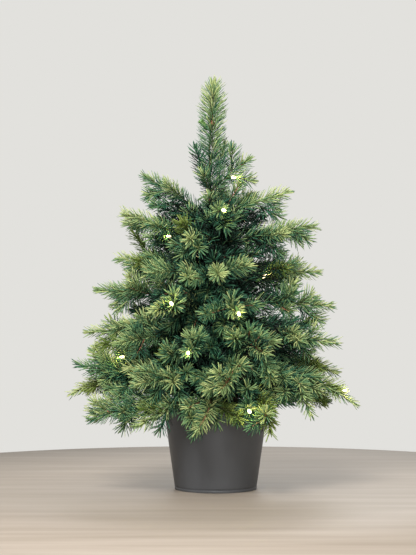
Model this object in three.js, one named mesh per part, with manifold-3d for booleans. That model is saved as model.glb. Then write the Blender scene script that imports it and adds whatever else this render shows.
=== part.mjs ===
// A small artificial fir for Christmas: wired tips of needles on a pole, in a tapered metal pot.
// Millimetres, +Z up. The origin is the middle of the pot's flat underside and the front is -Y.
// A turn is counted from +X (0) by the back (90) and the left (180) to the front (270).
import * as THREE from 'three';
import { mergeVertices } from 'three/addons/utils/BufferGeometryUtils.js';
import Module from 'manifold-3d';

const wasm = await Module();
wasm.setup();
const { Manifold, Mesh } = wasm;

// ---------- driving dimensions ----------

const GAP = 0.45; // how far a cutter stands out from the piece it clears
const MERGE = 1e-4; // corners closer than this are one corner

// the pot
const POT_HEIGHT = 190;
const POT_FOOT = 89; // outer radius at the underside
const POT_MOUTH = 116; // outer radius at the rim
const POT_WALL = 1.8;
const POT_FLOOR = 2;
const BEAD = 3.2; // radius of the rolled rim
const HEM_OUT = 0.8; // the crimped hem stands this far proud
const HEM_BULGE = 0.5; // and swells this much more up its height
const HEM_EDGE = 0.8; // its corners are broken by this much
const HEM_HEIGHT = 6;
const BEAD_START = -0.45 * Math.PI; // the bead is rolled from here, outside the wall,
const BEAD_END = 1.1 * Math.PI; // over the top to here, inside it
const BEAD_STEPS = 6;
const POT_SIDES = 32;

// the cement weight that holds the pole
const WEIGHT_TOP = 172;
const WEIGHT_GAP = 0.4;
const WEIGHT_EDGE = [3.2, 2]; // the broken edge of its top: across and down

// the pole
const TREE_HEIGHT = 900;
const POLE_TOP = 884;
const POLE_FOOT = 11; // radius
const POLE_TIP = 1.8;
const COLLAR = 15; // radius of the flare where the pole leaves the cement
const COLLAR_HEIGHT = 14;
const COLLAR_NECK = 1.2; // how much wider than the pole the collar is at half its height
const POLE_RINGS = [0.12, 0.3, 0.5, 0.7, 0.85, 1]; // shares of its length where it is ringed
const POLE_SIDES = 10;
const POLE_TAPER = 0.8; // power of the taper: the pole thins fastest low down
const LEAN = [[0, 172], [-3, 420], [-15, 720], [-6, 884]]; // the pole's axis: x at height

// the leader: the upright brush at the top
const LEADER_FOOT = 648;
const LEADER_RADIUS = 34;
const LEADER_SIDES = 8;
const LEADER_PROFILE = [[0, 0], [0.66, 0.03], [0.78, 0.42], [1, 0.6], [0.96, 0.84], [0.56, 0.95], [0, 1]];

// brushes of needles
const BRUSH = 26; // radius of one brush
const BRUSH_SIDES = 5;
const BRUSH_WIDE = 1.05;
const BRUSH_TALL = 1.08; // needles stand up, so a brush is a little taller than it is wide
const UNEVEN = 0.06; // how far the lumps of a brush stand out, as a share of its radius
// Profiles list [share of the radius, share of the length]: blunt at the root, round at the tip.
const MAIN_BRUSH = [[0, 0], [0.8, 0.05], [1.3, 0.4], [0.85, 0.84], [0, 1]];
const SIDE_BRUSH = [[0, 0], [0.95, 0.2], [0.86, 0.76], [0, 1]];
// The side brushes of a mass: the share of the bough where one starts, its turn as a share of
// the fan, its rise in degrees and its length as a share of the bough's reach.
const LONG_SIDES = [[0.5, -1, 10, 0.36], [0.56, 1, -10, 0.33], [0.46, 0.2, 38, 0.25]];
const SHORT_SIDES = [[0.46, -1, 10, 0.42], [0.54, 0.95, -12, 0.38], [0.42, 0.2, 32, 0.32]];
const LONG_REACH = 230; // boughs that reach further carry the long set
// No two side brushes are alike: their length, turn and rise vary by up to these.
const LENGTH_VARIES = 0.12; // share of the length
const TURN_VARIES = 5; // degrees
const RISE_VARIES = 6; // degrees
const SIDE_BEND = 0.55; // share of a side brush where it bends
const SIDE_LIFT = 0.06; // its tip lifts by this share of its length

// boughs
const LIMB_SIDES = 5;
const LIMB_FOOT = 4.6; // radius of a bough at the pole
const LIMB_END = 2.6; // and where it enters its foliage
const LIMB_START = 0.01; // shares of its line: where it leaves the pole
const LIMB_OVERLAP = 0.05; // and how far it runs on past the first needles
const BEND_SHARE = 0.45; // a bough bends over at this share of its reach
const SWAY = 12; // and sways up to this far to one side

// Each whorl: the height where its boughs leave the pole, how far they arch up, and for every
// bough its turn in degrees, its reach from the pole's axis and the height of its tip.
// bare is the share of a bough that carries no needles, and fan the turn of its side brushes,
// which a bough with more room beside it widens to its own fourth number.
const WHORLS = [
  {
    name: 'low', foot: 218, arch: 6, bare: 0.36, fan: 35, wooden: true,
    boughs: [[179, 324, 208], [207, 304, 160], [229, 262, 150, 24], [261, 246, 146, 20],
      [296, 262, 138, 40], [350, 314, 190], [38, 300, 190, 50], [108, 302, 186, 54]],
  },
  {
    name: 'second', foot: 276, arch: 4, bare: 0.36, fan: 36, wooden: true,
    boughs: [[188, 310, 274], [230, 272, 236], [272, 252, 226], [318, 276, 172],
      [2, 272, 254], [70, 288, 250, 54], [142, 290, 246, 46]],
  },
  {
    name: 'third', foot: 338, arch: 6, bare: 0.08, fan: 38, wooden: false,
    boughs: [[172, 292, 342], [214, 262, 322], [255, 238, 304], [297, 238, 302],
      [340, 280, 322], [62, 264, 324, 62]],
  },
  {
    name: 'fourth', foot: 400, arch: 8, bare: 0.08, fan: 38, wooden: false,
    boughs: [[184, 264, 436], [234, 226, 394], [283, 208, 390], [350, 260, 400], [112, 250, 406, 64]],
  },
  {
    name: 'fifth', foot: 462, arch: 8, bare: 0.08, fan: 40, wooden: false,
    boughs: [[170, 226, 506], [222, 200, 470], [272, 184, 468], [4, 230, 474], [68, 216, 484, 62]],
  },
  {
    name: 'sixth', foot: 526, arch: 10, bare: 0.08, fan: 40, wooden: false,
    boughs: [[189, 208, 604], [248, 160, 544], [352, 222, 576], [112, 184, 576, 56]],
  },
  {
    name: 'top', foot: 588, arch: 2, bare: 0.1, fan: 36, wooden: false,
    boughs: [[180, 162, 688], [276, 126, 608], [12, 172, 654], [84, 138, 658, 50]],
  },
];

// Steep shoots beside the leader: each is one piece with a brush for every tip listed.
const SHOOTS = [
  { name: 'right', foot: 650, tips: [[345, 42, 754], [355, 78, 726], [12, 90, 680]] },
  { name: 'left', foot: 630, tips: [[232, 48, 696]] },
];

const MATERIALS = {
  pot: new THREE.MeshStandardMaterial({ color: 0x565657, roughness: 0.5, metalness: 0.3 }),
  weight: new THREE.MeshStandardMaterial({ color: 0x4a463f, roughness: 0.95, metalness: 0 }),
  pole: new THREE.MeshStandardMaterial({ color: 0x2f3a26, roughness: 0.8, metalness: 0 }),
  bough: new THREE.MeshStandardMaterial({ color: 0x3a3a28, roughness: 0.85, metalness: 0 }),
  needles: new THREE.MeshStandardMaterial({ color: 0x53683f, roughness: 0.8, metalness: 0 }),
};

// ---------- solids ----------

const UP = new THREE.Vector3(0, 0, 1);
const RIGHT = new THREE.Vector3(1, 0, 0);

// Closed geometry to solid: only the shared positions stay, and triangles that a pole of the
// lathe folded flat are dropped.
function solidOf(geometry) {
  const bare = geometry.clone();
  bare.deleteAttribute('normal');
  bare.deleteAttribute('uv');
  const merged = mergeVertices(bare, MERGE);
  const kept = [];
  const index = merged.index.array;
  for (let i = 0; i < index.length; i += 3) {
    const [a, b, c] = index.slice(i, i + 3);
    if (a !== b && b !== c && c !== a) kept.push(a, b, c);
  }
  return new Manifold(new Mesh({
    numProp: 3,
    vertProperties: new Float32Array(merged.attributes.position.array),
    triVerts: new Uint32Array(kept),
  }));
}

function geometryOf(solid) {
  const mesh = solid.getMesh();
  const geometry = new THREE.BufferGeometry();
  geometry.setAttribute('position', new THREE.BufferAttribute(mesh.vertProperties, 3));
  geometry.setIndex(new THREE.BufferAttribute(mesh.triVerts, 1));
  geometry.computeVertexNormals();
  return geometry;
}

// The biggest of the bodies that a cut left.
function biggest(solid) {
  return solid.decompose().reduce((a, b) => (a.volume() > b.volume() ? a : b));
}

// A lathe bent along a curve. The profile lists [radius, share of the length]; side is the
// level direction across the curve, and wide and tall stretch the section along and across it.
// grow moves the whole surface outwards, to cut a neighbour clear of it.
function bentLathe({ curve, side, profile, sides, wide = 1, tall = 1, uneven = 0, seed = 0, grow = 0 }) {
  const points = profile.map(([radius, share]) => new THREE.Vector2(radius, share));
  const geometry = new THREE.LatheGeometry(points, sides);
  const position = geometry.attributes.position;
  const length = curve.getLength();
  const at = new THREE.Vector3();
  for (let i = 0; i < position.count; i += 1) {
    const share = position.getY(i);
    const radius = Math.hypot(position.getX(i), position.getZ(i));
    const angle = Math.atan2(position.getX(i), position.getZ(i));
    const lumps = Math.sin(2 * angle + 5 * share + seed) + Math.sin(3 * angle - 9 * share + 2 * seed);
    const out = radius < 1e-6 ? 0 : radius * (1 + uneven * lumps) + grow;
    const along = share * length + (2 * share - 1) * grow;
    const held = THREE.MathUtils.clamp(along / length, 0, 1);
    const tangent = curve.getTangent(held);
    const top = new THREE.Vector3().crossVectors(side, tangent).normalize();
    at.copy(curve.getPoint(held)).addScaledVector(tangent, along - held * length);
    at.addScaledVector(side, Math.sin(angle) * out * wide);
    at.addScaledVector(top, Math.cos(angle) * out * tall);
    position.setXYZ(i, at.x, at.y, at.z);
  }
  return solidOf(geometry);
}

// ---------- pot and weight ----------

const innerRadius = (z) => POT_FOOT - POT_WALL + (POT_MOUTH - POT_FOOT) * (z / POT_HEIGHT);

// A sheet-metal pot: flat underside, crimped hem, straight flaring wall and a rolled rim.
function potGeometry() {
  const outline = new THREE.Path();
  outline.moveTo(0, 0);
  outline.lineTo(POT_FOOT + HEM_OUT - HEM_EDGE, 0);
  outline.lineTo(POT_FOOT + HEM_OUT, HEM_EDGE);
  outline.lineTo(POT_FOOT + HEM_OUT + HEM_BULGE, HEM_HEIGHT - HEM_EDGE);
  outline.lineTo(innerRadius(HEM_HEIGHT) + POT_WALL, HEM_HEIGHT);
  const rim = new THREE.Vector2(POT_MOUTH - POT_WALL / 2, POT_HEIGHT - BEAD);
  for (let i = 0; i <= BEAD_STEPS; i += 1) {
    const angle = THREE.MathUtils.lerp(BEAD_START, BEAD_END, i / BEAD_STEPS);
    outline.lineTo(rim.x + BEAD * Math.cos(angle), rim.y + BEAD * Math.sin(angle));
  }
  outline.lineTo(innerRadius(POT_HEIGHT - 3 * BEAD), POT_HEIGHT - 3 * BEAD);
  outline.lineTo(innerRadius(POT_FLOOR), POT_FLOOR);
  outline.lineTo(0, POT_FLOOR);
  return new THREE.LatheGeometry(outline.getPoints(1), POT_SIDES).rotateX(Math.PI / 2);
}

// The room that the pot and its mouth take up, which the foliage keeps out of.
function potRoom() {
  const low = POT_FOOT + HEM_OUT + 1;
  const high = POT_MOUTH + BEAD;
  const outline = [[0, -1], [low, -1], [high, POT_HEIGHT - 2 * BEAD], [high, POT_HEIGHT + GAP],
    [0, POT_HEIGHT + GAP]].map(([radius, z]) => new THREE.Vector2(radius, z));
  return solidOf(new THREE.LatheGeometry(outline, POT_SIDES).rotateX(Math.PI / 2));
}

// The cement stands inside the pot, clear of its wall and floor.
function weightGeometry() {
  const low = POT_FLOOR + WEIGHT_GAP;
  const foot = innerRadius(low) - 2 * WEIGHT_GAP;
  const top = innerRadius(WEIGHT_TOP) - 2 * WEIGHT_GAP;
  const [edgeAcross, edgeDown] = WEIGHT_EDGE;
  const outline = [[0, low], [foot, low], [top, WEIGHT_TOP - edgeDown],
    [top - edgeAcross, WEIGHT_TOP], [0, WEIGHT_TOP]];
  const points = outline.map(([radius, z]) => new THREE.Vector2(radius, z));
  return new THREE.LatheGeometry(points, POT_SIDES).rotateX(Math.PI / 2);
}

// ---------- pole and leader ----------

const poleFoot = WEIGHT_TOP + WEIGHT_GAP;
const poleCurve = new THREE.CatmullRomCurve3(
  LEAN.map(([x, z], i) => new THREE.Vector3(x, 0, i ? z : poleFoot)));

// The point of the pole's axis at a height.
function poleAt(z) {
  const share = THREE.MathUtils.clamp((z - poleFoot) / (POLE_TOP - poleFoot), 0, 1);
  return new THREE.Vector3(poleCurve.getPointAt(share).x, 0, z);
}

// A flared collar on the flat foot, then one long taper to the tip.
function pole(grow = 0) {
  const length = POLE_TOP - poleFoot;
  const taper = (share) => THREE.MathUtils.lerp(POLE_FOOT, POLE_TIP, share ** POLE_TAPER);
  const rings = POLE_RINGS.map((share) => [taper(share), share]);
  const profile = [[0, 0], [COLLAR, 0], [POLE_FOOT + COLLAR_NECK, 0.5 * COLLAR_HEIGHT / length],
    [POLE_FOOT, COLLAR_HEIGHT / length], ...rings, [0, 1]];
  return bentLathe({ curve: poleCurve, side: RIGHT, profile, sides: POLE_SIDES, grow });
}

// The leader swells above its foot and closes over the pole's tip.
function leader(grow = 0) {
  const tip = new THREE.Vector3(LEAN.at(-1)[0], 0, TREE_HEIGHT);
  const curve = new THREE.LineCurve3(poleAt(LEADER_FOOT), tip);
  const profile = LEADER_PROFILE.map(([size, share]) => [size * LEADER_RADIUS, share]);
  return bentLathe({
    curve, side: RIGHT, profile, sides: LEADER_SIDES, uneven: UNEVEN, seed: 1, grow,
  });
}

// ---------- boughs and foliage ----------

// A bough's line: out of the pole, arched, to its tip. It sways to one side by its own amount.
function boughCurve(foot, arch, [turn, reach, height], seed) {
  const start = poleAt(foot);
  const angle = THREE.MathUtils.degToRad(turn);
  const out = new THREE.Vector3(Math.cos(angle), Math.sin(angle), 0);
  const across = new THREE.Vector3().crossVectors(out, UP);
  const tip = new THREE.Vector3().addScaledVector(out, reach).setZ(height);
  const bend = start.clone().addScaledVector(out, BEND_SHARE * reach).addScaledVector(UP, arch);
  bend.addScaledVector(across, SWAY * Math.sin(2.4 * seed));
  return { curve: new THREE.QuadraticBezierCurve3(start, bend, tip), across };
}

// The stretch of a curve between two shares of it.
function stretch(curve, from, to) {
  const a = curve.getPoint(from);
  const b = curve.getPoint(to);
  const middle = curve.getPoint((from + to) / 2);
  const bend = middle.clone().multiplyScalar(2).addScaledVector(a, -0.5).addScaledVector(b, -0.5);
  return new THREE.QuadraticBezierCurve3(a, bend, b);
}

function bough(line, bare, grow = 0) {
  const profile = [[0, 0], [LIMB_FOOT, 0], [LIMB_END, 1], [0, 1]];
  const curve = stretch(line.curve, LIMB_START, bare + LIMB_OVERLAP);
  return bentLathe({ curve, side: line.across, profile, sides: LIMB_SIDES, grow });
}

// One brush of needles along a curve.
function brush({ curve, side }, profile, radius, seed, grow) {
  const sized = profile.map(([size, share]) => [size * radius, share]);
  return bentLathe({
    curve, side, profile: sized, sides: BRUSH_SIDES,
    wide: BRUSH_WIDE, tall: BRUSH_TALL, uneven: UNEVEN, seed, grow,
  });
}

// The line of a side brush: it leaves the bough at a share of it, turned to one side and
// raised, and its tip lifts a little more.
function sideLine(line, share, turn, rise, length) {
  const start = line.curve.getPoint(share);
  const tangent = line.curve.getTangent(share);
  const top = new THREE.Vector3().crossVectors(line.across, tangent).normalize();
  const level = tangent.clone().applyAxisAngle(top, THREE.MathUtils.degToRad(turn));
  const climb = THREE.MathUtils.degToRad(rise);
  const toward = level.clone().multiplyScalar(Math.cos(climb)).addScaledVector(top, Math.sin(climb));
  const bend = start.clone().addScaledVector(toward, SIDE_BEND * length);
  const tip = start.clone().addScaledVector(toward, length).addScaledVector(UP, SIDE_LIFT * length);
  const across = new THREE.Vector3().crossVectors(level, top).normalize();
  return { curve: new THREE.QuadraticBezierCurve3(start, bend, tip), side: across };
}

// A mass of foliage: the brush along the bough, and side brushes that fan out and rise from it.
// Every second mass is the other hand, and each has its own lengths and turns.
function foliage(line, reach, bare, fan, seed, grow = 0) {
  const main = { curve: stretch(line.curve, bare, 1), side: line.across };
  const hand = seed % 2 ? 1 : -1;
  const sides = (reach > LONG_REACH ? LONG_SIDES : SHORT_SIDES).map(([share, turn, rise, size], i) => {
    const own = 3 * seed + i;
    const length = size * reach * (1 + LENGTH_VARIES * Math.sin(5 * own));
    const turned = hand * turn * fan + TURN_VARIES * Math.sin(3 * own);
    const raised = rise + RISE_VARIES * Math.sin(7 * own);
    const side = sideLine(line, share, turned, raised, length);
    return brush(side, SIDE_BRUSH, BRUSH, own, grow);
  });
  return sides.reduce((a, b) => a.add(b), brush(main, MAIN_BRUSH, BRUSH, seed, grow));
}

// A steep shoot: one brush for each tip, all from the same place on the pole. It climbs half
// of its height before it bends out.
function shoot({ foot, tips }, grow = 0) {
  const brushes = tips.map((tip, i) => {
    const [, , height] = tip;
    const { curve, across } = boughCurve(foot, 0.5 * (height - foot), tip, i);
    return brush({ curve, side: across }, SIDE_BRUSH, BRUSH, i, grow);
  });
  return brushes.reduce((a, b) => a.add(b));
}

// ---------- assembly ----------

const tree = new THREE.Group();

function place(name, geometry, material) {
  const mesh = new THREE.Mesh(geometry, material);
  mesh.name = name;
  tree.add(mesh);
}

const near = (a, b) => ['x', 'y', 'z'].every((k, i) => (
  a.boundingBox().min[i] < b.boundingBox().max[i] && b.boundingBox().min[i] < a.boundingBox().max[i]));

// Cutters are the grown outlines of everything placed so far.
const cutters = [];

function placeCut(name, solid, grown, material) {
  const rest = cutters.filter((cutter) => near(cutter, solid)).reduce((a, b) => a.subtract(b), solid);
  place(name, geometryOf(biggest(rest)), material);
  cutters.push(grown);
}

place('pot', potGeometry(), MATERIALS.pot);
place('cement_weight', weightGeometry(), MATERIALS.weight);
placeCut('trunk_pole', pole(), pole(GAP), MATERIALS.pole);
cutters.push(potRoom());

WHORLS.filter(({ wooden }) => wooden).forEach(({ name, foot, arch, bare, boughs }, tier) => {
  boughs.forEach((row, i) => {
    const line = boughCurve(foot, arch, row, 10 * tier + i);
    placeCut(`bough_${name}_${i + 1}`, bough(line, bare), bough(line, bare, GAP), MATERIALS.bough);
  });
});

placeCut('foliage_leader', leader(), leader(GAP), MATERIALS.needles);
SHOOTS.forEach((row) => {
  placeCut(`foliage_shoot_${row.name}`, shoot(row), shoot(row, GAP), MATERIALS.needles);
});
WHORLS.forEach(({ name, foot, arch, bare, fan, boughs }, tier) => {
  boughs.forEach((row, i) => {
    const [, reach, , ownFan = fan] = row;
    const seed = 10 * tier + i;
    const line = boughCurve(foot, arch, row, seed);
    const mass = (grow) => foliage(line, reach, bare, ownFan, seed, grow);
    placeCut(`foliage_${name}_${i + 1}`, mass(0), mass(GAP), MATERIALS.needles);
  });
});

export default tree;
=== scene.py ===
"""The looks of a small artificial fir: wired tips of moulded needles with warm lights, on a taped
pole in a satin grey metal pot. Metres, +Z up, the front is -Y."""

import bpy
import numpy as np
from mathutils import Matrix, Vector
from mathutils.bvhtree import BVHTree


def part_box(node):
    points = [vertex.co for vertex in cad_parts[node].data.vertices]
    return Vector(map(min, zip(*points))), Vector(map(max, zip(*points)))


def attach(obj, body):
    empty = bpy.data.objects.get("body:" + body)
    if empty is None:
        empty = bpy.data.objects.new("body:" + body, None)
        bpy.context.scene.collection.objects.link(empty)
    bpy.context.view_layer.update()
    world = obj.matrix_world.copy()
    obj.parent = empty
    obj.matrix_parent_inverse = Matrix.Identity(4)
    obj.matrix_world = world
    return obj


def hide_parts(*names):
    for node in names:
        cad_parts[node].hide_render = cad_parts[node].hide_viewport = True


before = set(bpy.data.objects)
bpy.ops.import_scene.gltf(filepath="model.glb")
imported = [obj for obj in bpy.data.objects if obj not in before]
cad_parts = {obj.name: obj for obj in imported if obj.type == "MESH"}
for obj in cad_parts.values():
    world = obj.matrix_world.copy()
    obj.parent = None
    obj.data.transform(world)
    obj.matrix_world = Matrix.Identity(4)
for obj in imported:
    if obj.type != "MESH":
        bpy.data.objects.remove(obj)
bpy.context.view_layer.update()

SEED = 11
UP = np.array([0.0, 0.0, 1.0])

# ---------- measures ----------

# needles
NEEDLE_LONG = 0.032
NEEDLE_WIDE = 0.0026
NEEDLE_THICK = 0.0011
NEEDLES_A_METRE = 1250
FEWEST_NEEDLES = 12  # on the shortest twig
GOLDEN_TURN = 2.39996
TURN_LOOSE = 0.35  # how loosely the needles keep to it, in radians
CROWDING = 0.78  # a power below 1 crowds the needles towards the twig's tip
ASIDE, ABOVE = 1.12, 0.9  # a spray is a little wider than it is high
BASE_LEAN = np.radians(60)  # the angle between needle and twig at the twig's foot
TIP_LEAN = np.radians(52)  # and at its tip
LEAN_LATE = 2.2  # a power above 1 keeps the change for the outer part of the twig
LEAN_LOOSE = 0.09
TIP_CLOSES = (0.86, 0.98)  # between these shares of the twig its needles start to turn ahead
FORWARD_SHORT = 0.62  # a needle straight ahead at the tip has this share of its length
LENGTH_AT = ([0, 0.15, 0.8, 1], [0.82, 1.0, 1.0, 0.84])  # places along a twig, shares of length
LENGTH_LOOSE = (0.85, 1.08)
CURVE_ON = 0.40  # how far a needle's outer half turns to the twig's heading
CURVE_UP = 0.10  # and upwards
OVERHANG = 0.011  # a twig ends this far short of its lobe, to leave room for its needles

# twigs; swings and rises are in degrees, and a pair named LONG holds shares of TWIG_LONG
TWIG_STEP = 0.040  # from one side twig to the next along a bough
TWIG_LONG = 0.098
TWIG_WIRE = 0.0016
WOOD_RADIUS = 0.0044
LOBE_REACH = 0.040  # two lobes of a mass are at least this far apart
OUTSIDE = 0.012  # a twig may end this far outside the solid masses
SIDE_SWING = (46, 68)
SIDE_RISE = (-22, 14)
SIDE_LONG = (0.9, 1.08)
BACK_RISE = (36, 58)  # the sprays on a bough's back
BACK_LONG = (0.72, 0.95)
UNDER_RISE = (-62, -38)  # and those that hang under it
UNDER_LONG = (0.62, 0.85)
FORKED_LONG = 0.12  # a branch longer than this carries a pair of sprays
FORK_SWINGS = (-50, 48)
FORK_PLACE = (0.35, 0.5)
FORK_RISE = (-10, 25)
FORK_LONG = (0.62, 0.8)
INNER_TWIGS = 260
INNER_LOW = 0.22  # the inner twigs lie between these shares of the tree's height
INNER_TOP = 0.67
INNER_WIDE = 0.82  # and within this share of the crown's reach
CROWN_BANDS = 14

# leader
LEADER_NEEDLE = 0.040
LEADER_SPREAD = 1.22  # its needles lean out this much more than on the other twigs
LEADER_DENSE = 2.1  # and stand this much closer
LEADER_TOP = 0.021  # its wire ends this far below the top of the tree
LEADER_BOW = 0.004  # and the bend of its line is drawn this far to the right
LEADER_WOOD = (0.64, 0.70, 0.76)  # the stretch of it where bare red-brown wood shows

# tones, a needle's place on the scale of greens: 0 is the deepest and 5 the palest
MAIN_TONE = 3.1
SPRAY_TONE = 2.9
LEADER_TONE = 3.0
# the inner twigs' tone: their needles take the deepest greens, painted shade in the crown's heart
INNER_PAINTED_SHADE_TONE = 0.1
INNER_LOOSE = 0.6
BACK_PAINTED_LIGHT = 0.25  # painted light: the sprays on a bough's back, which face up, are paler
UNDER_PAINTED_SHADE = 0.5  # painted shade: those that hang under it are deeper
OUTWARD_PAINTED_LIGHT = 1.3  # paler from the pole out to the crown's reach: painted shade inside the crown, painted light on its outside
OUTWARD_EVEN = 0.7  # with no change at this share of the way
TWIG_LOOSE = 0.45
NEEDLE_PALER = 2.3  # from a twig's foot to its tip
NEEDLE_EVEN = 0.55  # with no change at this share of the way
TOP_TWO_TONE_AND_LIGHT = 0.4  # paler for a needle on the twig's upper side: partly the tips' two-tone moulding, partly painted light from above
NEEDLE_LOOSE = 0.7

# pole and boughs
TAPE_PITCH = 0.016
TAPE_STEP = 0.0007
POLE_SLIM = 0.60  # the pole loses this share of its width inside the leader
SLIM_FROM, SLIM_TO = 0.66, 0.86  # between these shares of its height
POLE_LEAST = 0.0016
POLE_FLARE = 0.004  # it flares by this at the cement
FLARE_HIGH = 0.006
POLE_END = 0.0012  # the radius of its closing rows
BOUGH_THICK = [0.0044, 0.0026]  # a bough's radius at its foot and at its end

# pot
POT_SIDES = 128
POT_WALL = 0.0018
BEAD = 0.0032
HEM_OUT = 0.0008
HEM_HIGH = 0.006
POT_FLOOR = 0.002
CEMENT_LOW = 0.0026
CEMENT_GAP = 0.0008  # between the cement and the pot's inner wall
CEMENT_DISH = 0.0012
CEMENT_RIPPLE = 0.0006

# lights
BULB_RADIUS = 0.0036
BULB_LONG = 0.0125
SOCKET_RADIUS = 0.0036
SOCKET_LONG = 0.015
BACK_LIGHTS = 20  # places tried round the sides and back, of which a few meet no mass
LAMP_WATTS = 0.05
SPARE_SHARE = 0.54  # how far up the leader the spare holder is clipped
SPARE_OUT = 0.043
SPARE_SIZE = 1.7

# the masses that carry a lamp on their front, and how far out along the mass it sits
LAMPS_NEAR_POLE = ["foliage_shoot_right", "foliage_sixth_1", "foliage_fifth_4", "foliage_second_1",
                   "foliage_low_5"]
LAMPS_NEAR_TIP = ["foliage_top_2", "foliage_fourth_2", "foliage_fourth_3", "foliage_third_3",
                  "foliage_low_6"]
NEAR_POLE = 0.40
NEAR_TIP = 0.70
WIRE_LIFT = 0.05  # the bend of a wire is drawn up by this
LAMP_OUT = 0.010  # how far a lamp stands out from its twig
LAMP_RISE = 0.05  # the scale of the random rise in a lamp's heading
LAMP_LOOSE = 0.25
GLOW_OUT = 0.016  # its glow sits this far along its heading, just off the bulb
WIRE_RADIUS = 0.0009
WIRE_IN = 0.35  # and in to this share of its distance from the pole
BACK_LOW = 0.20  # the other lamps lie between these shares of the tree's height
BACK_TOP = 0.68

# camera
EYE = np.array([-0.017, -3.9, 0.4625])
LENS = 115.4


# ---------- small maths ----------

def unit(v):
    """Vectors at length one."""
    return v / np.maximum(np.linalg.norm(v, axis=-1, keepdims=True), 1e-12)


def along(line, share):
    """Points of a quadratic curve: (1 - t)^2 A + 2 t (1 - t) B + t^2 C."""
    t = np.asarray(share)[..., None]
    return (1 - t) ** 2 * line[..., 0, :] + 2 * t * (1 - t) * line[..., 1, :] + t ** 2 * line[..., 2, :]


def heading(line, share):
    """Directions of a quadratic curve: (1 - t)(B - A) + t (C - B), at length one."""
    t = np.asarray(share)[..., None]
    return unit((1 - t) * (line[..., 1, :] - line[..., 0, :]) + t * (line[..., 2, :] - line[..., 1, :]))


def level_side(ahead):
    """The level direction to the right of each heading, or X for an upright one."""
    upright = np.abs(ahead[..., 2:3]) > 0.97
    return unit(np.where(upright, np.array([1.0, 0.0, 0.0]), np.cross(ahead, UP)))


def length_of(line):
    """The length of a gently bent line: the mean of its chord and its two legs."""
    chord = np.linalg.norm(line[..., 2, :] - line[..., 0, :], axis=-1)
    legs = np.linalg.norm(np.diff(line, axis=-2), axis=-1).sum(-1)
    return 0.5 * (chord + legs)


def smooth_step(low, high, value):
    """3 t^2 - 2 t^3 of the value's place between low and high."""
    t = np.clip((value - low) / (high - low), 0, 1)
    return t * t * (3 - 2 * t)


# ---------- skins ----------

def closed_skins(rings, first, last):
    """Closed skins from rings[skin, row, side]: each row joins the next by two triangles a side,
    and the outer rows close on the points first and last. Returns the corners and triangles."""
    count, rows, sides, _ = rings.shape
    side = np.arange(sides)
    after = (side + 1) % sides
    low = np.arange(rows - 1)[:, None] * sides
    a, b = low + side, low + after
    wall = np.stack([a, b, b + sides, a, b + sides, a + sides], -1).reshape(-1, 3)
    foot = np.stack([np.full(sides, rows * sides), after, side], -1)
    top = (rows - 1) * sides
    cap = np.stack([np.full(sides, rows * sides + 1), top + side, top + after], -1)
    one = np.concatenate([wall, foot, cap])
    corners = np.concatenate([rings.reshape(count, -1, 3), first[:, None], last[:, None]], 1)
    triangles = one + np.arange(count)[:, None, None] * (rows * sides + 2)
    return corners.reshape(-1, 3), triangles.reshape(-1, 3)


def turned_skin(radius, height, sides):
    """A lathe: ring k is radius[k] (cos a, sin a) at height[k], and its ends close on the axis."""
    angle = np.linspace(0, 2 * np.pi, sides, endpoint=False)
    x = np.outer(radius, np.cos(angle))
    y = np.outer(radius, np.sin(angle))
    z = np.repeat(height[:, None], sides, 1)
    ends = [np.array([[0.0, 0.0, height[k]]]) for k in (0, -1)]
    return closed_skins(np.stack([x, y, z], -1)[None], *ends)


def tubes(middle, ahead, radius):
    """Tubes round middle[tube, row]: ring = middle + radius (cos a over + sin a side), where side
    is level, over is square to it, and radius[tube, row, side] may hold a relief."""
    sides = radius.shape[-1]
    angle = np.linspace(0, 2 * np.pi, sides, endpoint=False)
    side = level_side(ahead)
    over = np.cross(side, ahead)
    out = np.cos(angle)[:, None] * over[..., None, :] + np.sin(angle)[:, None] * side[..., None, :]
    rings = middle[..., None, :] + radius[..., None] * out
    return closed_skins(rings, middle[:, 0], middle[:, -1])


def make_piece(name, skin, material, slot=None, replaces=()):
    """A named mesh of the skin's corners and triangles, riding with the tree, or part of the
    studio if it has no slot."""
    corners, triangles = skin
    mesh = bpy.data.meshes.new(name)
    mesh.vertices.add(len(corners))
    mesh.vertices.foreach_set("co", corners.astype(np.float32).ravel())
    mesh.loops.add(triangles.size)
    mesh.loops.foreach_set("vertex_index", triangles.astype(np.int32).ravel())
    mesh.polygons.add(len(triangles))
    mesh.polygons.foreach_set("loop_start", np.arange(0, triangles.size, 3, dtype=np.int32))
    mesh.update(calc_edges=True)
    mesh.shade_smooth()
    mesh.materials.append(material)
    piece = bpy.data.objects.new(name, mesh)
    bpy.context.scene.collection.objects.link(piece)
    if slot is None:
        return
    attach(piece, "root")
    if replaces:
        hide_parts(*replaces)


# ---------- materials ----------

def pigment(red, green, blue):
    """A display colour of 0 to 255 as the light it reflects: ((c + 0.055) / 1.055) ^ 2.4."""
    c = np.array([red, green, blue]) / 255
    return (*np.where(c <= 0.04045, c / 12.92, ((c + 0.055) / 1.055) ** 2.4), 1.0)


def start_material(name, roughness, specular=0.5):
    """A material with its own shader, and the tree's own coordinates to lay patterns by."""
    material = bpy.data.materials.new(name)
    material.use_nodes = True
    nodes, links = material.node_tree.nodes, material.node_tree.links
    shader = nodes["Principled BSDF"]
    shader.inputs["Roughness"].default_value = roughness
    shader.inputs["Specular IOR Level"].default_value = specular
    place = nodes.new("ShaderNodeTexCoord")
    return material, nodes, links, shader, place.outputs["Object"]


def add_noise(nodes, links, place, scale, detail=3.0, stretch=(1, 1, 1)):
    """A cloudy pattern of that many lumps a metre, drawn out along the axes of stretch."""
    mapping = nodes.new("ShaderNodeMapping")
    mapping.inputs["Scale"].default_value = stretch
    links.new(place, mapping.inputs["Vector"])
    noise = nodes.new("ShaderNodeTexNoise")
    noise.inputs["Scale"].default_value = scale
    noise.inputs["Detail"].default_value = detail
    links.new(mapping.outputs["Vector"], noise.inputs["Vector"])
    return noise.outputs["Fac"]


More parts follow.
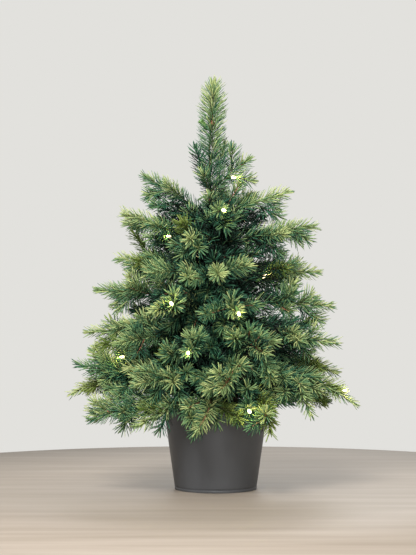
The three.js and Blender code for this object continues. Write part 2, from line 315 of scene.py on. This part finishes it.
def add_ramp(nodes, links, value, stops):
    """Colours dealt out by a value: stops are (value, colour)."""
    ramp = nodes.new("ShaderNodeValToRGB")
    while len(ramp.color_ramp.elements) < len(stops):
        ramp.color_ramp.elements.new(0.5)
    for element, (place, colour) in zip(ramp.color_ramp.elements, stops):
        element.position = place
        element.color = colour
    links.new(value, ramp.inputs["Fac"])
    return ramp.outputs["Color"]


def add_bump(nodes, links, shader, heights, distance, strength=1.0):
    """A bump of that depth."""
    bump = nodes.new("ShaderNodeBump")
    bump.inputs["Strength"].default_value = strength
    bump.inputs["Distance"].default_value = distance
    links.new(heights, bump.inputs["Height"])
    links.new(bump.outputs["Normal"], shader.inputs["Normal"])


def add_range(nodes, links, value, low, high):
    """A pattern's middle, 0.3 to 0.7, spread from low to high."""
    spread = nodes.new("ShaderNodeMapRange")
    spread.inputs["From Min"].default_value = 0.3
    spread.inputs["From Max"].default_value = 0.7
    spread.inputs["To Min"].default_value = low
    spread.inputs["To Max"].default_value = high
    links.new(value, spread.inputs["Value"])
    return spread.outputs["Result"]


def satin_pot_paint():
    """Dark grey satin paint on sheet metal: faint upright streaks, fine orange peel, even gloss."""
    material, nodes, links, shader, place = start_material("satin_pot_paint", 0.42)
    streaks = add_noise(nodes, links, place, 14, 4, (1, 1, 0.12))
    shades = [(0.3, pigment(62, 63, 65)), (0.7, pigment(70, 71, 73))]
    links.new(add_ramp(nodes, links, streaks, shades), shader.inputs["Base Color"])
    clouds = add_noise(nodes, links, place, 30, 3)
    links.new(add_range(nodes, links, clouds, 0.38, 0.50), shader.inputs["Roughness"])
    peel = add_noise(nodes, links, place, 1400, 2)
    add_bump(nodes, links, shader, peel, 0.00006, 0.5)
    shader.inputs["Metallic"].default_value = 0.25
    return material


def rough_cement():
    """Poured cement: blotched grey-brown with grit and pits."""
    material, nodes, links, shader, place = start_material("rough_cement", 0.95, 0.2)
    blotches = add_noise(nodes, links, place, 45, 6)
    shades = [(0.3, pigment(58, 52, 45)), (0.55, pigment(82, 76, 68)), (0.75, pigment(104, 98, 90))]
    links.new(add_ramp(nodes, links, blotches, shades), shader.inputs["Base Color"])
    grit = add_noise(nodes, links, place, 500, 6)
    add_bump(nodes, links, shader, grit, 0.0012)
    return material


def crepe_tape(name, dark, light):
    """Crepe tape wound on wire: fine creases across the winding over faded patches."""
    material, nodes, links, shader, place = start_material(name, 0.85, 0.25)
    patches = add_noise(nodes, links, place, 60, 4)
    links.new(add_ramp(nodes, links, patches, [(0.32, dark), (0.7, light)]), shader.inputs["Base Color"])
    creases = add_noise(nodes, links, place, 900, 3, (1, 1, 0.25))
    add_bump(nodes, links, shader, creases, 0.0004)
    return material


def twig_skin(name, dark, light):
    """Moulded twig skin: small scales in two close shades."""
    material, nodes, links, shader, place = start_material(name, 0.7, 0.3)
    scales = add_noise(nodes, links, place, 420, 2)
    links.new(add_ramp(nodes, links, scales, [(0.35, dark), (0.65, light)]), shader.inputs["Base Color"])
    add_bump(nodes, links, shader, scales, 0.0005)
    return material


def needle_plastic(name, colour):
    """Soft moulded plastic in one of the greens that the needles are dealt."""
    material, _, _, shader, _ = start_material(name, 0.55, 0.22)
    shader.inputs["Base Color"].default_value = colour
    return material


def lamp_plastic(name, colour):
    """Bright glossy plastic of the lamp holders and their wire, with faint moulding marks."""
    material, nodes, links, shader, place = start_material(name, 0.35, 0.5)
    marks = add_noise(nodes, links, place, 300, 2)
    darker = (*(0.75 * np.array(colour[:3])), 1.0)
    links.new(add_ramp(nodes, links, marks, [(0.3, darker), (0.7, colour)]), shader.inputs["Base Color"])
    return material


def bulb_glow():
    """A lit warm-white bulb."""
    material, _, _, shader, _ = start_material("bulb_glow", 0.2)
    shader.inputs["Base Color"].default_value = (1.0, 0.93, 0.75, 1.0)
    shader.inputs["Emission Color"].default_value = (1.0, 0.84, 0.42, 1.0)
    shader.inputs["Emission Strength"].default_value = 4.0
    return material


def pale_floor():
    """A plain pale floor: washed boards with a faint grain across the view."""
    material, nodes, links, shader, place = start_material("pale_floor", 0.55, 0.3)
    grain = add_noise(nodes, links, place, 5, 5, (0.35, 4, 1))
    shades = [(0.3, pigment(122, 112, 100)), (0.7, pigment(136, 126, 115))]
    links.new(add_ramp(nodes, links, grain, shades), shader.inputs["Base Color"])
    return material


# ---------- reading the frame ----------

def corners_of(node):
    """The corners of a CAD node as an array."""
    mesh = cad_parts[node].data
    flat = np.empty(3 * len(mesh.vertices))
    mesh.vertices.foreach_get("co", flat)
    return np.unique(flat.reshape(-1, 3).round(6), axis=0)


NODES = sorted(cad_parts)
MASSES = [n for n in NODES if n.startswith("foliage_")]
BOUGHS = [n for n in NODES if n.startswith("bough_")]

pot_corners = corners_of("pot")
pot_out = np.hypot(pot_corners[:, 0], pot_corners[:, 1])
POT_HIGH = pot_corners[:, 2].max()
POT_FOOT = pot_out[pot_corners[:, 2] < 0.0004].max()
POT_MOUTH = pot_out.max() - BEAD + POT_WALL / 2
WEIGHT_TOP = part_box("cement_weight")[1].z

pole_corners = corners_of("trunk_pole")
POLE_FOOT_Z, POLE_TOP_Z = pole_corners[:, 2].min(), pole_corners[:, 2].max()
POLE_BEND = [np.polyfit(pole_corners[:, 2], pole_corners[:, k], 3) for k in (0, 1)]


def pole_line(z):
    """The pole's middle at a height: cubics fitted to all its corners."""
    z = np.asarray(z, float)
    return np.stack([np.polyval(POLE_BEND[0], z), np.polyval(POLE_BEND[1], z), z], -1)


pole_off = np.linalg.norm(pole_corners - pole_line(pole_corners[:, 2]), axis=1)
above_collar = (pole_corners[:, 2] > POLE_FOOT_Z + 0.02) & (pole_off > 0.0015)
POLE_TAPER = np.polyfit(pole_corners[above_collar, 2], pole_off[above_collar], 2)


def pole_distance(points):
    """How far points are from the pole's middle, level."""
    return np.linalg.norm((points - pole_line(points[:, 2]))[:, :2], axis=1)


def crown_solid():
    """All the CAD masses as one searchable surface."""
    corners, faces, start = [], [], 0
    for name in MASSES:
        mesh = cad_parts[name].data
        flat = np.empty(3 * len(mesh.vertices))
        mesh.vertices.foreach_get("co", flat)
        loops = np.empty(len(mesh.loops), dtype=np.int32)
        mesh.loops.foreach_get("vertex_index", loops)
        corners.append(flat.reshape(-1, 3))
        faces.append(loops.reshape(-1, 3) + start)
        start += len(mesh.vertices)
    return BVHTree.FromPolygons(np.concatenate(corners).tolist(), np.concatenate(faces).tolist())


CROWN = crown_solid()


def outside_by(point):
    """How far a point is outside the solid masses, or 0 inside them."""
    found, normal, _, distance = CROWN.find_nearest(Vector(point))
    return distance if (Vector(point) - found).dot(normal) > 0 else 0.0


def bough_line(node):
    """A CAD bough's middle as a quadratic curve, from the fit of its corners to a parabola."""
    corners = corners_of(node)
    order = np.argsort(pole_distance(corners))
    start, end = corners[order[:4]].mean(0), corners[order[-5:]].mean(0)
    share = (corners - start) @ (end - start) / np.sum((end - start) ** 2)
    bend = np.array([np.polyfit(share, corners[:, k], 2) for k in range(3)])
    a, b, c = (np.array([np.polyval(row, t) for row in bend]) for t in (0.0, 0.5, 1.0))
    return np.array([a, 2 * b - 0.5 * (a + c), c])


def lobe_tips(corners, root):
    """The furthest corner of each lobe of a mass, the furthest of all first: further from the
    root than any other corner within the lobe reach, and over 0.35 of the furthest's distance."""
    far = np.linalg.norm(corners - root, axis=1)
    apart = np.linalg.norm(corners[:, None] - corners[None], axis=-1)
    rival = np.where(apart < LOBE_REACH, far[None], 0).max(1)
    tips = np.flatnonzero((far >= rival - 1e-9) & (far > 0.35 * far.max()))
    return corners[tips[np.argsort(-far[tips])]]


# ---------- growing the twigs ----------

rng = np.random.default_rng(SEED)
grown = []  # rows of (line, bare share, tone, olive, needle length, spread, density)


def crown_reach():
    """Heights up the crown, and how far its masses reach from the pole at each: the furthest of
    the corners within one band of that height."""
    corners = np.concatenate([corners_of(name) for name in MASSES])
    heights = np.linspace(corners[:, 2].min(), corners[:, 2].max(), CROWN_BANDS)
    near = np.abs(corners[:, 2] - heights[:, None]) < heights[1] - heights[0]
    return heights, np.where(near, pole_distance(corners), 0).max(1)


CROWN_HEIGHTS, CROWN_WIDE = crown_reach()


def crown_share(point):
    """How far out a point is in the crown: 0 at the pole, 1 at its furthest reach there."""
    wide = np.interp(point[2], CROWN_HEIGHTS, CROWN_WIDE)
    return float(pole_distance(point[None])[0] / wide)


def add_twig(line, bare, tone):
    """Keeps a grown twig. Its tone rises towards the outside of the crown: painted shade deep in
    the crown and painted light on its outside. The low outer sprays are the ones most often
    moulded in olive."""
    tip = line[2]
    outward = crown_share(tip)
    # painted shade near the pole, painted light towards the crown's outside
    change = OUTWARD_PAINTED_LIGHT * (min(outward, 1.1) - OUTWARD_EVEN)
    own = tone + change + TWIG_LOOSE * rng.standard_normal()
    chance = 0.30 * smooth_step(0.55, 0.95, outward) * smooth_step(0.42, 0.18, tip[2]) + 0.04
    olive = bool(rng.random() < chance)
    grown.append((line, bare, own, olive, NEEDLE_LONG * rng.uniform(0.92, 1.06), 1.0, 1.0))


def bent_line(start, ahead, end, share=0.45):
    """A line that leaves start along ahead and bends over to its end."""
    reach = np.linalg.norm(end - start)
    return np.array([start, start + share * reach * unit(ahead), end])


def side_twig(parent, share, swing, rise, length):
    """A twig from its parent's share: the parent's heading swung aside and raised, with its tip
    drawn forwards again."""
    foot, ahead = along(parent, share), heading(parent, share)
    side = level_side(ahead)
    over = np.cross(side, ahead)
    toward = np.cos(rise) * (np.cos(swing) * ahead + np.sin(swing) * side) + np.sin(rise) * over
    end = foot + length * unit(toward + 0.22 * ahead + 0.06 * UP)
    return bent_line(foot, toward, end)


def sprays_along(parent, tone):
    """Side twigs by turns to the left and right of a bough, shorter towards its tip, with raised
    ones on its back, paler as painted light, and a few that hang under it, deeper as painted shade."""
    long = length_of(parent)
    count = max(2, int(long / TWIG_STEP))
    hand = 1 if rng.random() < 0.5 else -1
    for i in range(count):
        share = (i + 0.7 + 0.3 * rng.random()) / (count + 0.6)
        room = np.interp(share, [0, 0.55, 1], [1.0, 0.95, 0.62])
        swing = hand * np.radians(rng.uniform(*SIDE_SWING))
        rise = np.radians(rng.uniform(*SIDE_RISE))
        length = room * rng.uniform(*SIDE_LONG) * TWIG_LONG
        keep_spray(side_twig(parent, share, swing, rise, length), tone)
        hand = -hand
        if i % 3 == 0:
            rise = np.radians(rng.uniform(*BACK_RISE))
            length = room * rng.uniform(*BACK_LONG) * TWIG_LONG
            # paler: painted light on the upward sprays
            keep_spray(side_twig(parent, share, 0.5 * swing, rise, length), tone + BACK_PAINTED_LIGHT)
        elif share < 0.85:
            rise = np.radians(rng.uniform(*UNDER_RISE))
            length = room * rng.uniform(*UNDER_LONG) * TWIG_LONG
            # deeper: painted shade under the bough
            keep_spray(side_twig(parent, share, 0.6 * swing, rise, length), tone - UNDER_PAINTED_SHADE)


def keep_spray(line, tone):
    """Keeps a side twig, drawn in until it ends within reach of the solid masses, or drops it."""
    for shorter in (1.0, 0.85, 0.7):
        tried = line[0] + shorter * (line - line[0])
        if outside_by(tried[2]) < OUTSIDE:
            add_twig(tried, 0.12, tone)
            return


def mass_root(name):
    """Where a mass grows from: its bough's end and heading, or the pole and no heading."""
    corners = corners_of(name)
    bough = name.replace("foliage_", "bough_")
    if bough in BOUGHS:
        limb = bough_line(bough)
        return limb[2], heading(limb, np.array(1.0))
    nearest = corners[np.argsort(pole_distance(corners))[:6]]
    return pole_line(nearest[:, 2].mean()), None


def mass_ends(name):
    """A mass's root and its furthest corner from it."""
    root, _ = mass_root(name)
    corners = corners_of(name)
    return root, corners[np.argmax(np.linalg.norm(corners - root, axis=1))]


def grow_mass(name):
    """One mass: a main twig to its furthest lobe, a twig to each other lobe, and sprays."""
    corners = corners_of(name)
    root, ahead = mass_root(name)
    tips = lobe_tips(corners, root)
    inward = unit(root - tips)
    tips = tips + OVERHANG * inward
    if ahead is None:
        ahead = unit(tips[0] - root) + 0.10 * UP
    main = bent_line(root, ahead, tips[0])
    add_twig(main, 0.04, MAIN_TONE)
    sprays_along(main, SPRAY_TONE)
    run = unit(main[2] - main[0])
    for tip in tips[1:]:
        forward = (tip - root) @ run / length_of(main)
        aside = np.linalg.norm(np.cross(tip - root, run)) / length_of(main)
        share = np.clip(forward - 0.9 * aside, 0.12, 0.8)
        foot = along(main, share)
        branch = bent_line(foot, unit(tip - foot) + 0.25 * heading(main, share), tip)
        add_twig(branch, 0.08, MAIN_TONE)
        if length_of(branch) > FORKED_LONG:
            for swing in FORK_SWINGS:
                share = rng.uniform(*FORK_PLACE)
                length = rng.uniform(*FORK_LONG) * TWIG_LONG
                rise = np.radians(rng.uniform(*FORK_RISE))
                keep_spray(side_twig(branch, share, np.radians(swing), rise, length), SPRAY_TONE)


def grow_leader():
    """The leader's own line: from the pole at the mass's foot to just under the tree's top."""
    corners = corners_of("foliage_leader")
    low, top = corners[:, 2].min(), corners[np.argmax(corners[:, 2])]
    start = pole_line(low)
    end = top - LEADER_TOP * UP
    middle = 0.5 * (start + end) + np.array([LEADER_BOW, 0.0, 0.0])
    return np.array([start, middle, end])


def grow_inside(count):
    """Short twigs round the pole, turned by the golden angle, that close the crown's heart;
    their needles are dealt the deepest greens as painted shade.
    """
    low, top = INNER_LOW * CROWN_HEIGHTS[-1], INNER_TOP * CROWN_HEIGHTS[-1]
    for i in range(count):
        z = low + (top - low) * (i + 0.5) / count
        turn = i * GOLDEN_TURN
        wide = INNER_WIDE * np.interp(z, CROWN_HEIGHTS, CROWN_WIDE)
        wide = wide * (1 - 0.4 * smooth_step(0.7 * top, top, z))
        reach = wide * rng.uniform(0.45, 1.0)
        out = np.array([np.cos(turn), np.sin(turn), 0.0])
        start = pole_line(z) + 0.01 * out
        end = start + reach * out + rng.uniform(-0.01, 0.05) * UP
        for shorter in (1.0, 0.85, 0.7, 0.55, 0.4):
            tried = start + shorter * (end - start)
            if outside_by(tried) == 0:
                break
        line = bent_line(start, out + 0.2 * UP, tried)
        # the deepest greens: painted shade round the pole
        tone = INNER_PAINTED_SHADE_TONE + INNER_LOOSE * rng.random()
        grown.append((line, 0.15, tone, False, NEEDLE_LONG, 1.0, 1.0))


# ---------- needles ----------

def needle_rows(line, bare, tone, olive, reach, spread, density):
    """Every needle of every twig at once: the n-th sits a golden turn on from the one before.
    Its foot is on the twig, it leans forward more and more towards the tip, and it curves on
    towards the twig's heading and a little up. Returns foot, knee, tip, flat side, shade and
    whether it is olive."""
    long = length_of(line) * (1 - bare)
    count = np.maximum(FEWEST_NEEDLES, np.round(long * NEEDLES_A_METRE * density)).astype(int)
    twig = np.repeat(np.arange(len(line)), count)
    order = np.arange(count.sum()) - np.repeat(np.cumsum(count) - count, count)
    share = ((order + rng.random(len(order))) / count[twig]) ** CROWDING
    place = bare[twig] + (1 - bare[twig]) * share
    foot, ahead = along(line[twig], place), heading(line[twig], place)
    side = level_side(ahead)
    over = np.cross(side, ahead)
    turn = order * GOLDEN_TURN + TURN_LOOSE * rng.standard_normal(len(order))
    radial = unit(ASIDE * np.sin(turn)[:, None] * side + ABOVE * np.cos(turn)[:, None] * over)
    lean = BASE_LEAN + (TIP_LEAN - BASE_LEAN) * share ** LEAN_LATE
    lean = lean + LEAN_LOOSE * rng.standard_normal(len(order))
    lean = spread[twig] * lean * (1 - smooth_step(*TIP_CLOSES, share) * rng.random(len(order)))
    toward = np.cos(lean)[:, None] * ahead + np.sin(lean)[:, None] * radial
    size = reach[twig] * np.interp(share, *LENGTH_AT)
    size = size * np.minimum(1.0, FORWARD_SHORT + (1 - FORWARD_SHORT) * np.sin(lean) / np.sin(TIP_LEAN))
    size = (size * rng.uniform(*LENGTH_LOOSE, len(order)))[:, None]
    knee = foot + 0.5 * size * toward
    tip = knee + 0.5 * size * unit(toward + CURVE_ON * ahead + CURVE_UP * UP)
    # the upper side paler: partly two-tone moulding, partly painted light from above
    shade = tone[twig] + NEEDLE_PALER * (share - NEEDLE_EVEN) + TOP_TWO_TONE_AND_LIGHT * np.cos(turn)
    shade = shade + NEEDLE_LOOSE * rng.standard_normal(len(order))
    return foot, knee, tip, unit(np.cross(toward, ahead)), shade, olive[twig]


def needle_skins(foot, knee, tip, flat):
    """Curved three-sided blades: a point in the twig, a wide ring, a narrower ring, a point."""
    run = unit(tip - foot)
    ridge = np.cross(run, flat)
    width = 0.5 * NEEDLE_WIDE * np.array([1.0, 0.82])[:, None, None]
    thick = NEEDLE_THICK * np.array([0.85, 0.9])[:, None, None]
    middle = np.stack([foot + 0.45 * (knee - foot), knee + 0.66 * (tip - knee)])
    rings = np.stack([middle + width * flat, middle + thick * ridge, middle - width * flat], 2)
    return closed_skins(rings.transpose(1, 0, 2, 3), foot, tip)


# ---------- growing it ----------

for mass in MASSES:
    if mass != "foliage_leader":
        grow_mass(mass)
grow_inside(INNER_TWIGS)
leader = grow_leader()
grown.append((leader, 0.0, LEADER_TONE, False, LEADER_NEEDLE, LEADER_SPREAD, LEADER_DENSE))

columns = [np.array(column) for column in zip(*grown)]
lines = columns[0]
foot, knee, tip, flat, shade, is_olive = needle_rows(*columns)

pot_room = POT_FOOT + (POT_MOUTH + BEAD - POT_FOOT) * tip[:, 2] / POT_HIGH
in_pot = (np.hypot(tip[:, 0], tip[:, 1]) < pot_room + 0.001) & (tip[:, 2] < POT_HIGH + 0.001)

GREENS = {
    "needles_deep": pigment(6, 15, 9),
    "needles_shade": pigment(18, 42, 31),
    "needles_blue": pigment(44, 86, 64),
    "needles_green": pigment(80, 114, 78),
    "needles_soft": pigment(118, 140, 90),
    "needles_pale": pigment(160, 170, 112),
}
OLIVES = {
    "needles_olive_deep": pigment(40, 56, 20),
    "needles_olive": pigment(74, 94, 38),
    "needles_olive_pale": pigment(116, 132, 66),
}

green_tone = np.clip(np.round(shade), 0, len(GREENS) - 1).astype(int)
olive_tone = np.clip(np.round(shade / 2 - 0.2), 0, len(OLIVES) - 1).astype(int)
dealt = np.where(is_olive, len(GREENS) + olive_tone, green_tone)
dealt[in_pot] = -1
for number, (name, colour) in enumerate({**GREENS, **OLIVES}.items()):
    mine = dealt == number
    skin = needle_skins(foot[mine], knee[mine], tip[mine], flat[mine])
    make_piece(name, skin, needle_plastic(name, colour), "needles", MASSES)


def twig_tubes(line, thick):
    """Wired twigs: tubes of seven rows that thin from thick to 0.35 of it at the tip."""
    share = np.linspace(0, 1, 7)[None]
    middle = along(line[:, None], share)
    ahead = heading(line[:, None], share)
    radius = thick[:, None] * (1 - 0.65 * share)
    return tubes(middle, ahead, np.repeat(radius[..., None], 6, -1))


wire = np.full(len(lines), TWIG_WIRE)
brown = rng.random(len(lines)) < 0.25
brown[-1] = False
wood = along(leader, np.array(LEADER_WOOD))
brown_lines = np.concatenate([lines[brown], wood[None]])
brown_wire = np.append(wire[brown], WOOD_RADIUS)
make_piece("twigs_green", twig_tubes(lines[~brown], wire[~brown]),
           twig_skin("green_twig", pigment(52, 62, 36), pigment(82, 92, 54)), "bough_wrap")
make_piece("twigs_brown", twig_tubes(brown_lines, brown_wire),
           twig_skin("brown_twig", pigment(112, 66, 48), pigment(158, 100, 76)), "bough_wrap")


def taped(line_points, ahead, radius, sides):
    """Tape wound on a limb: radius + step x frac(length / pitch - turn), a ledge each winding."""
    run = np.concatenate([[0], np.cumsum(np.linalg.norm(np.diff(line_points, axis=0), axis=1))])
    turn = np.arange(sides) / sides
    ledge = (run[:, None] / TAPE_PITCH - turn[None]) % 1.0
    return tubes(line_points[None], ahead[None], (radius[:, None] + TAPE_STEP * ledge)[None])


def taped_pole():
    """The pole: its fitted line and taper, slimmer inside the leader, flared at the cement, under
    wound tape."""
    z = np.linspace(POLE_FOOT_Z, POLE_TOP_Z, 420)
    middle = pole_line(z)
    slim = 1 - POLE_SLIM * smooth_step(SLIM_FROM * POLE_TOP_Z, SLIM_TO * POLE_TOP_Z, z)
    radius = np.maximum(np.polyval(POLE_TAPER, z) * slim, POLE_LEAST)
    radius = radius + POLE_FLARE * np.exp(-(z - POLE_FOOT_Z) / FLARE_HIGH)
    radius[[0, -1]] = POLE_END
    ahead = unit(np.gradient(middle, axis=0))
    return taped(middle, ahead, radius, 20)


def taped_boughs():
    """The wooden boughs: fitted lines, thinning outwards, under wound tape."""
    skins = []
    start = 0
    for name in BOUGHS:
        line = bough_line(name)
        share = np.linspace(0, 1, 44)
        radius = np.interp(share, [0, 1], BOUGH_THICK)
        corners, triangles = taped(along(line, share), heading(line, share), radius, 10)
        skins.append((corners, triangles + start))
        start += len(corners)
    return tuple(np.concatenate(part) for part in zip(*skins))


pole_tape = crepe_tape("pole_tape", pigment(38, 44, 28), pigment(66, 70, 46))
make_piece("pole_taped", taped_pole(), pole_tape, "pole_wrap", ["trunk_pole"])
bough_tape = crepe_tape("bough_tape", pigment(44, 42, 28), pigment(78, 68, 48))
make_piece("boughs_taped", taped_boughs(), bough_tape, "bough_wrap", BOUGHS)


# ---------- pot and cement ----------

def arc(middle, radius, start, end, count):
    """Points of an arc: middle + radius (cos a, sin a)."""
    a = np.linspace(start, end, count)
    return np.stack([middle[0] + radius * np.cos(a), middle[1] + radius * np.sin(a)], -1)


def wall_radius(z):
    """The outer wall's radius at a height, straight from foot to mouth."""
    return POT_FOOT + (POT_MOUTH - POT_FOOT) * z / POT_HIGH


def pot_skin():
    """The pot's outline turned round: underside, rounded hem with its seam, wall, rolled bead,
    inner wall and floor."""
    foot = POT_FOOT + HEM_OUT
    hem = [arc((foot - 0.0008, 0.0008), 0.0008, -0.5 * np.pi, 0, 5),
           arc((foot - 0.0004, HEM_HIGH - 0.0010), 0.0009, 0, 0.5 * np.pi, 5),
           [[wall_radius(HEM_HIGH) - 0.0005, HEM_HIGH - 0.0003]]]
    heights = np.linspace(HEM_HIGH + 0.0004, POT_HIGH - 2.1 * BEAD, 40)
    wall = np.stack([wall_radius(heights), heights], -1)
    rim = arc((POT_MOUTH - POT_WALL / 2, POT_HIGH - BEAD), BEAD, -0.42 * np.pi, 1.1 * np.pi, 22)
    inside = np.linspace(POT_HIGH - 3 * BEAD, POT_FLOOR, 12)
    inner = np.stack([wall_radius(inside) - POT_WALL, inside], -1)
    under = [[0.5 * foot, 0.0]]
    floor = [[0.5 * foot, POT_FLOOR]]
    outline = np.concatenate([under, *hem, wall, rim, inner, floor])
    return turned_skin(outline[:, 0], outline[:, 1], POT_SIDES)


def cement_skin():
    """The cement: a plug under the pot's wall with an uneven, slightly dished top."""
    side = np.linspace(CEMENT_LOW, WEIGHT_TOP - 0.002, 10)
    body = np.stack([wall_radius(side) - POT_WALL - CEMENT_GAP, side], -1)
    top = np.linspace(0.97, 0.02, 26)
    dish = WEIGHT_TOP - CEMENT_DISH * (1 - top ** 2) - CEMENT_RIPPLE * np.abs(np.sin(23 * top))
    lid = np.stack([top * body[-1, 0], dish], -1)
    outline = np.concatenate([[[0.5 * body[0, 0], CEMENT_LOW]], body, lid])
    return turned_skin(outline[:, 0], outline[:, 1], 96)


make_piece("pot_painted", pot_skin(), satin_pot_paint(), "pot_grey", ["pot"])
make_piece("cement_poured", cement_skin(), rough_cement(), "cement", ["cement_weight"])


# ---------- lights ----------

def cast(start, toward):
    """Where a ray first meets the solid masses, or None."""
    hit = CROWN.ray_cast(Vector(start), Vector(unit(toward)))[0]
    return None if hit is None else np.array(hit)


def lamp_places():
    """The lamps: front ones where a level line from the front, towards the point that far out
    along a mass, meets the crown, the others spread round the sides and back, where a level
    line to the pole meets it."""
    places = []
    for names, share in ((LAMPS_NEAR_POLE, NEAR_POLE), (LAMPS_NEAR_TIP, NEAR_TIP)):
        for name in names:
            root, tip = mass_ends(name)
            seat = root + share * (tip - root)
            hit = cast(seat - [0.0, 1.0, 0.0], np.array([0.0, 1.0, 0.0]))
            if hit is not None:
                places.append(hit)
    for i in range(BACK_LIGHTS):
        z = np.interp((i + 0.5) / BACK_LIGHTS, [0, 1], [BACK_LOW, BACK_TOP]) * CROWN_HEIGHTS[-1]
        turn = np.pi * (0.5 + 0.34 * np.sin(1.9 * i + 0.4))
        middle = pole_line(z)
        far = middle + 0.9 * np.array([np.cos(turn), np.sin(turn), 0.0])
        hit = cast(far, middle - far)
        if hit is not None:
            places.append(hit)
    return np.array(places)


def lamp_skins(place, ahead, outline):
    """Small turned parts, one at each place: an outline of (radius, length along ahead)."""
    share = outline[:, 1][None, :, None]
    middle = place[:, None] + share * ahead[:, None]
    radius = np.repeat(np.repeat(outline[:, 0][None, :, None], len(place), 0), 10, -1)
    return tubes(middle, np.repeat(ahead[:, None], len(outline), 1), radius)


def bulb_outline():
    """A bulb: a long egg, r = R sqrt(1 - |2 t - 1|^2.4) at the share t of its length."""
    t = np.linspace(0.03, 1, 9)
    dome = BULB_RADIUS * np.sqrt(np.clip(1 - np.abs(2 * t - 1) ** 2.4, 0.002, 1))
    return np.stack([dome, BULB_LONG * t], -1)


def socket_outline():
    """A lamp holder: a sleeve with a lip round the bulb, closing to the wire behind."""
    steps = [[0.30, -1.0], [0.62, -0.97], [0.72, -0.7], [0.86, -0.4], [0.9, -0.1], [1.08, -0.06],
             [1.08, 0.04], [0.7, 0.06]]
    return np.array(steps) * [SOCKET_RADIUS, SOCKET_LONG]


def clip_to_twigs(place):
    """Each lamp moved to the nearest needle's foot, which lies on a twig's middle line."""
    apart = np.linalg.norm(place[:, None] - foot[None], axis=-1)
    return foot[apart.argmin(1)]


def level_out(place):
    """The level direction from the pole to each place."""
    return unit((place - pole_line(place[:, 2])) * [1, 1, 0])


lamps = clip_to_twigs(lamp_places())
lamp_rise = LAMP_RISE * UP * rng.uniform(-0.6, 2.2, (len(lamps), 1))
lamp_out = unit(level_out(lamps) + lamp_rise + LAMP_LOOSE * rng.standard_normal(lamps.shape))
lamps = lamps + LAMP_OUT * level_out(lamps)
make_piece("light_bulbs", lamp_skins(lamps, lamp_out, bulb_outline()), bulb_glow(), "bough_wrap")
socket_green = lamp_plastic("socket_green", pigment(82, 118, 58))
make_piece("light_sockets", lamp_skins(lamps, lamp_out, socket_outline()), socket_green, "bough_wrap")


def spare_holder():
    """The lamp holder clipped to the left of the leader, with no bulb: a larger sleeve that
    leans out from the leader's wire."""
    foot = along(leader, np.array(SPARE_SHARE))
    ahead = unit(np.array([-0.62, -0.25, 0.75]))
    place = foot + SPARE_OUT * ahead
    return lamp_skins(place[None], ahead[None], SPARE_SIZE * socket_outline())


make_piece("spare_holder", spare_holder(), socket_green, "bough_wrap")


def lamp_wires():
    """The wire: from each lamp's tail to the next one down, its bend drawn in to the pole and up."""
    order = np.argsort(-lamps[:, 2])
    tails = (lamps - SOCKET_LONG * lamp_out)[order]
    start, end = tails[:-1], tails[1:]
    middle = 0.5 * (start + end)
    core = pole_line(middle[:, 2])
    bend = core + WIRE_IN * (middle - core) + WIRE_LIFT * UP
    line = np.stack([start, bend, end], 1)
    share = np.linspace(0, 1, 24)[None]
    radius = np.full((len(line), 24, 6), WIRE_RADIUS)
    return tubes(along(line[:, None], share), heading(line[:, None], share), radius)


make_piece("light_wires", lamp_wires(), lamp_plastic("wire_green", pigment(30, 58, 30)), "bough_wrap")


def add_glow(place):
    """A small warm light just off a bulb."""
    data = bpy.data.lights.new("glow", "POINT")
    data.energy = LAMP_WATTS
    data.color = (1.0, 0.86, 0.28)
    data.shadow_soft_size = 0.004
    light = bpy.data.objects.new("glow", data)
    light.location = place
    bpy.context.scene.collection.objects.link(light)


for place in lamps + GLOW_OUT * lamp_out:
    add_glow(place)


# ---------- studio ----------

def add_floor():
    """A plain round floor under the pot."""
    radius = np.array([0.5, 0.98, 0.98, 0.5])
    height = np.array([-0.02, -0.02, 0.0, 0.0]) - 0.0002
    make_piece("floor", turned_skin(radius, height, 96), pale_floor())


def add_softbox(name, place, aim, size, watts):
    """A square soft light that looks at aim."""
    data = bpy.data.lights.new(name, "AREA")
    data.size = size
    data.energy = watts
    light = bpy.data.objects.new(name, data)
    light.location = place
    light.rotation_euler = (Vector(aim) - Vector(place)).to_track_quat("-Z", "Y").to_euler()
    bpy.context.scene.collection.objects.link(light)


def add_sky():
    """An even pale room."""
    world = bpy.data.worlds.new("pale_room")
    world.use_nodes = True
    sky = world.node_tree.nodes["Background"]
    sky.inputs["Color"].default_value = pigment(226, 225, 221)
    sky.inputs["Strength"].default_value = 1.0
    bpy.context.scene.world = world


def add_camera():
    """A level camera in front, at the height of the tree's middle."""
    data = bpy.data.cameras.new("camera")
    data.lens = LENS
    data.sensor_width = 36
    camera = bpy.data.objects.new("camera", data)
    camera.location = EYE
    camera.rotation_euler = (np.pi / 2, 0, 0)
    bpy.context.scene.collection.objects.link(camera)
    bpy.context.scene.camera = camera


add_floor()
add_sky()
add_softbox("key", (-0.9, -3.0, 3.0), (0, 0, 0.45), 1.4, 292)
add_softbox("fill", (0.35, -3.3, 0.55), (0, 0, 0.3), 0.9, 42)
add_softbox("back", (0.6, 3.2, 2.4), (0, 0, 0.4), 2.0, 55)
add_camera()
bpy.context.scene.view_settings.view_transform = "Standard"
